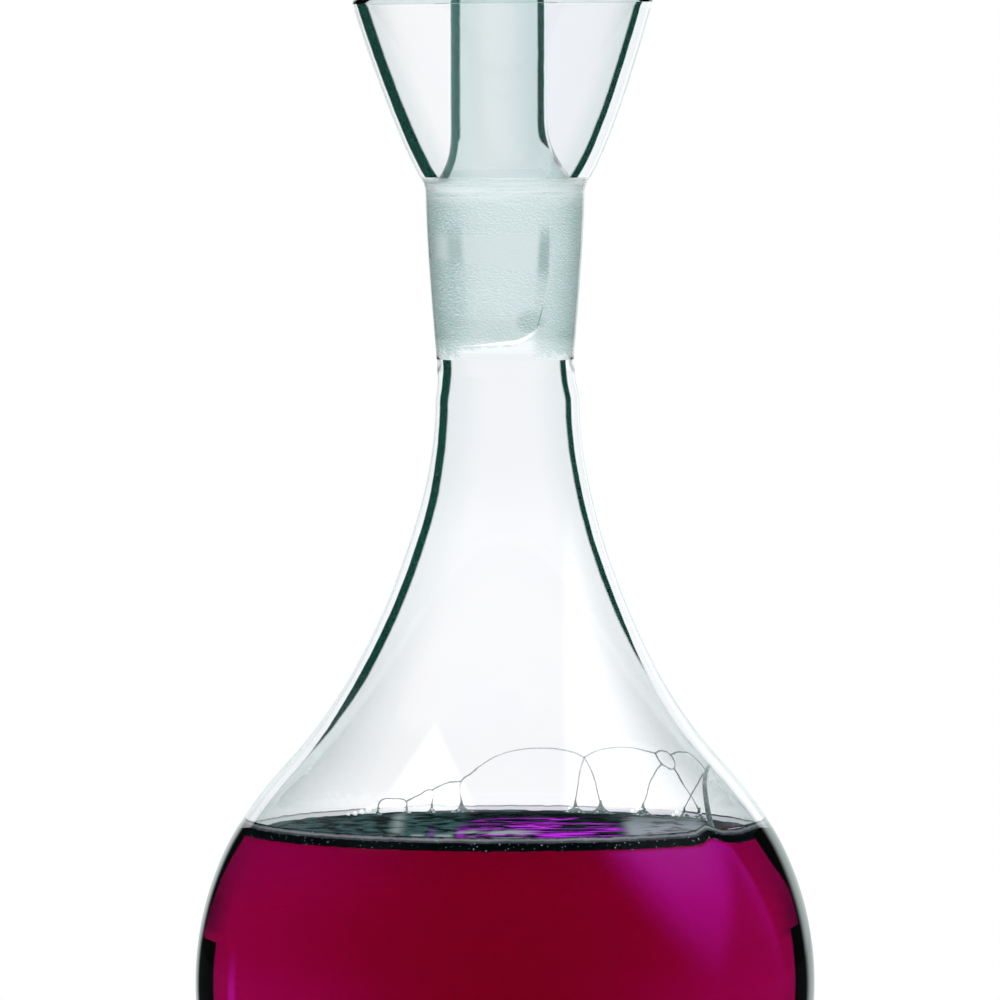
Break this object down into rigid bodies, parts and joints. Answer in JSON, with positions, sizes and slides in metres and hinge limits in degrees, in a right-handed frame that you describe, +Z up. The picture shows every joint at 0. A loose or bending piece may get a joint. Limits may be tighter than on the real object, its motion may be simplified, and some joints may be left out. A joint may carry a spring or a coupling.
{
  "type": "separatory funnel",
  "caption": "Globe-shaped glass separatory funnel with a flared cup mouth, ground joint with hollow ball stopper, drain stopcock with T handle and bevelled stem.",
  "frame": {"origin": "on the funnel's axis, in the plane where an 80 mm support ring touches the globe", "axes": "+Z up along the funnel's axis, +X towards the stopcock's T handle, -Y towards the picture's viewer"},
  "size_m": [0.105, 0.105, 0.3745],
  "materials": {
    "clear_glass": "clear borosilicate, ground matt on the joint faces",
    "fluoropolymer": "turned white fluoropolymer",
    "seal_rubber": "moulded black rubber",
    "nut_plastic": "moulded pale plastic",
    "red_liquid": "clear crimson liquid"
  },
  "bodies": {
    "glass": {"cup_and_socket": "clear_glass", "globe": "clear_glass", "stopcock_barrel": "clear_glass", "drain_stem": "clear_glass", "red_liquid": "red_liquid"},
    "stopper": {"stopper": "clear_glass"},
    "stopcock": {"stopcock_plug": "fluoropolymer", "plug_washer": "fluoropolymer", "plug_o_ring": "seal_rubber", "plug_nut": "nut_plastic"}
  },
  "joints": [
    {"name": "stopper_lift", "type": "slide", "parent": "glass", "child": "stopper", "axis": [0, 0, 1], "range_m": [0, 0.065]},
    {"name": "stopcock_turn", "type": "hinge", "parent": "glass", "child": "stopcock", "pos_m": [0, 0, -0.046], "axis": [1, 0, 0], "continuous": true}
  ]
}
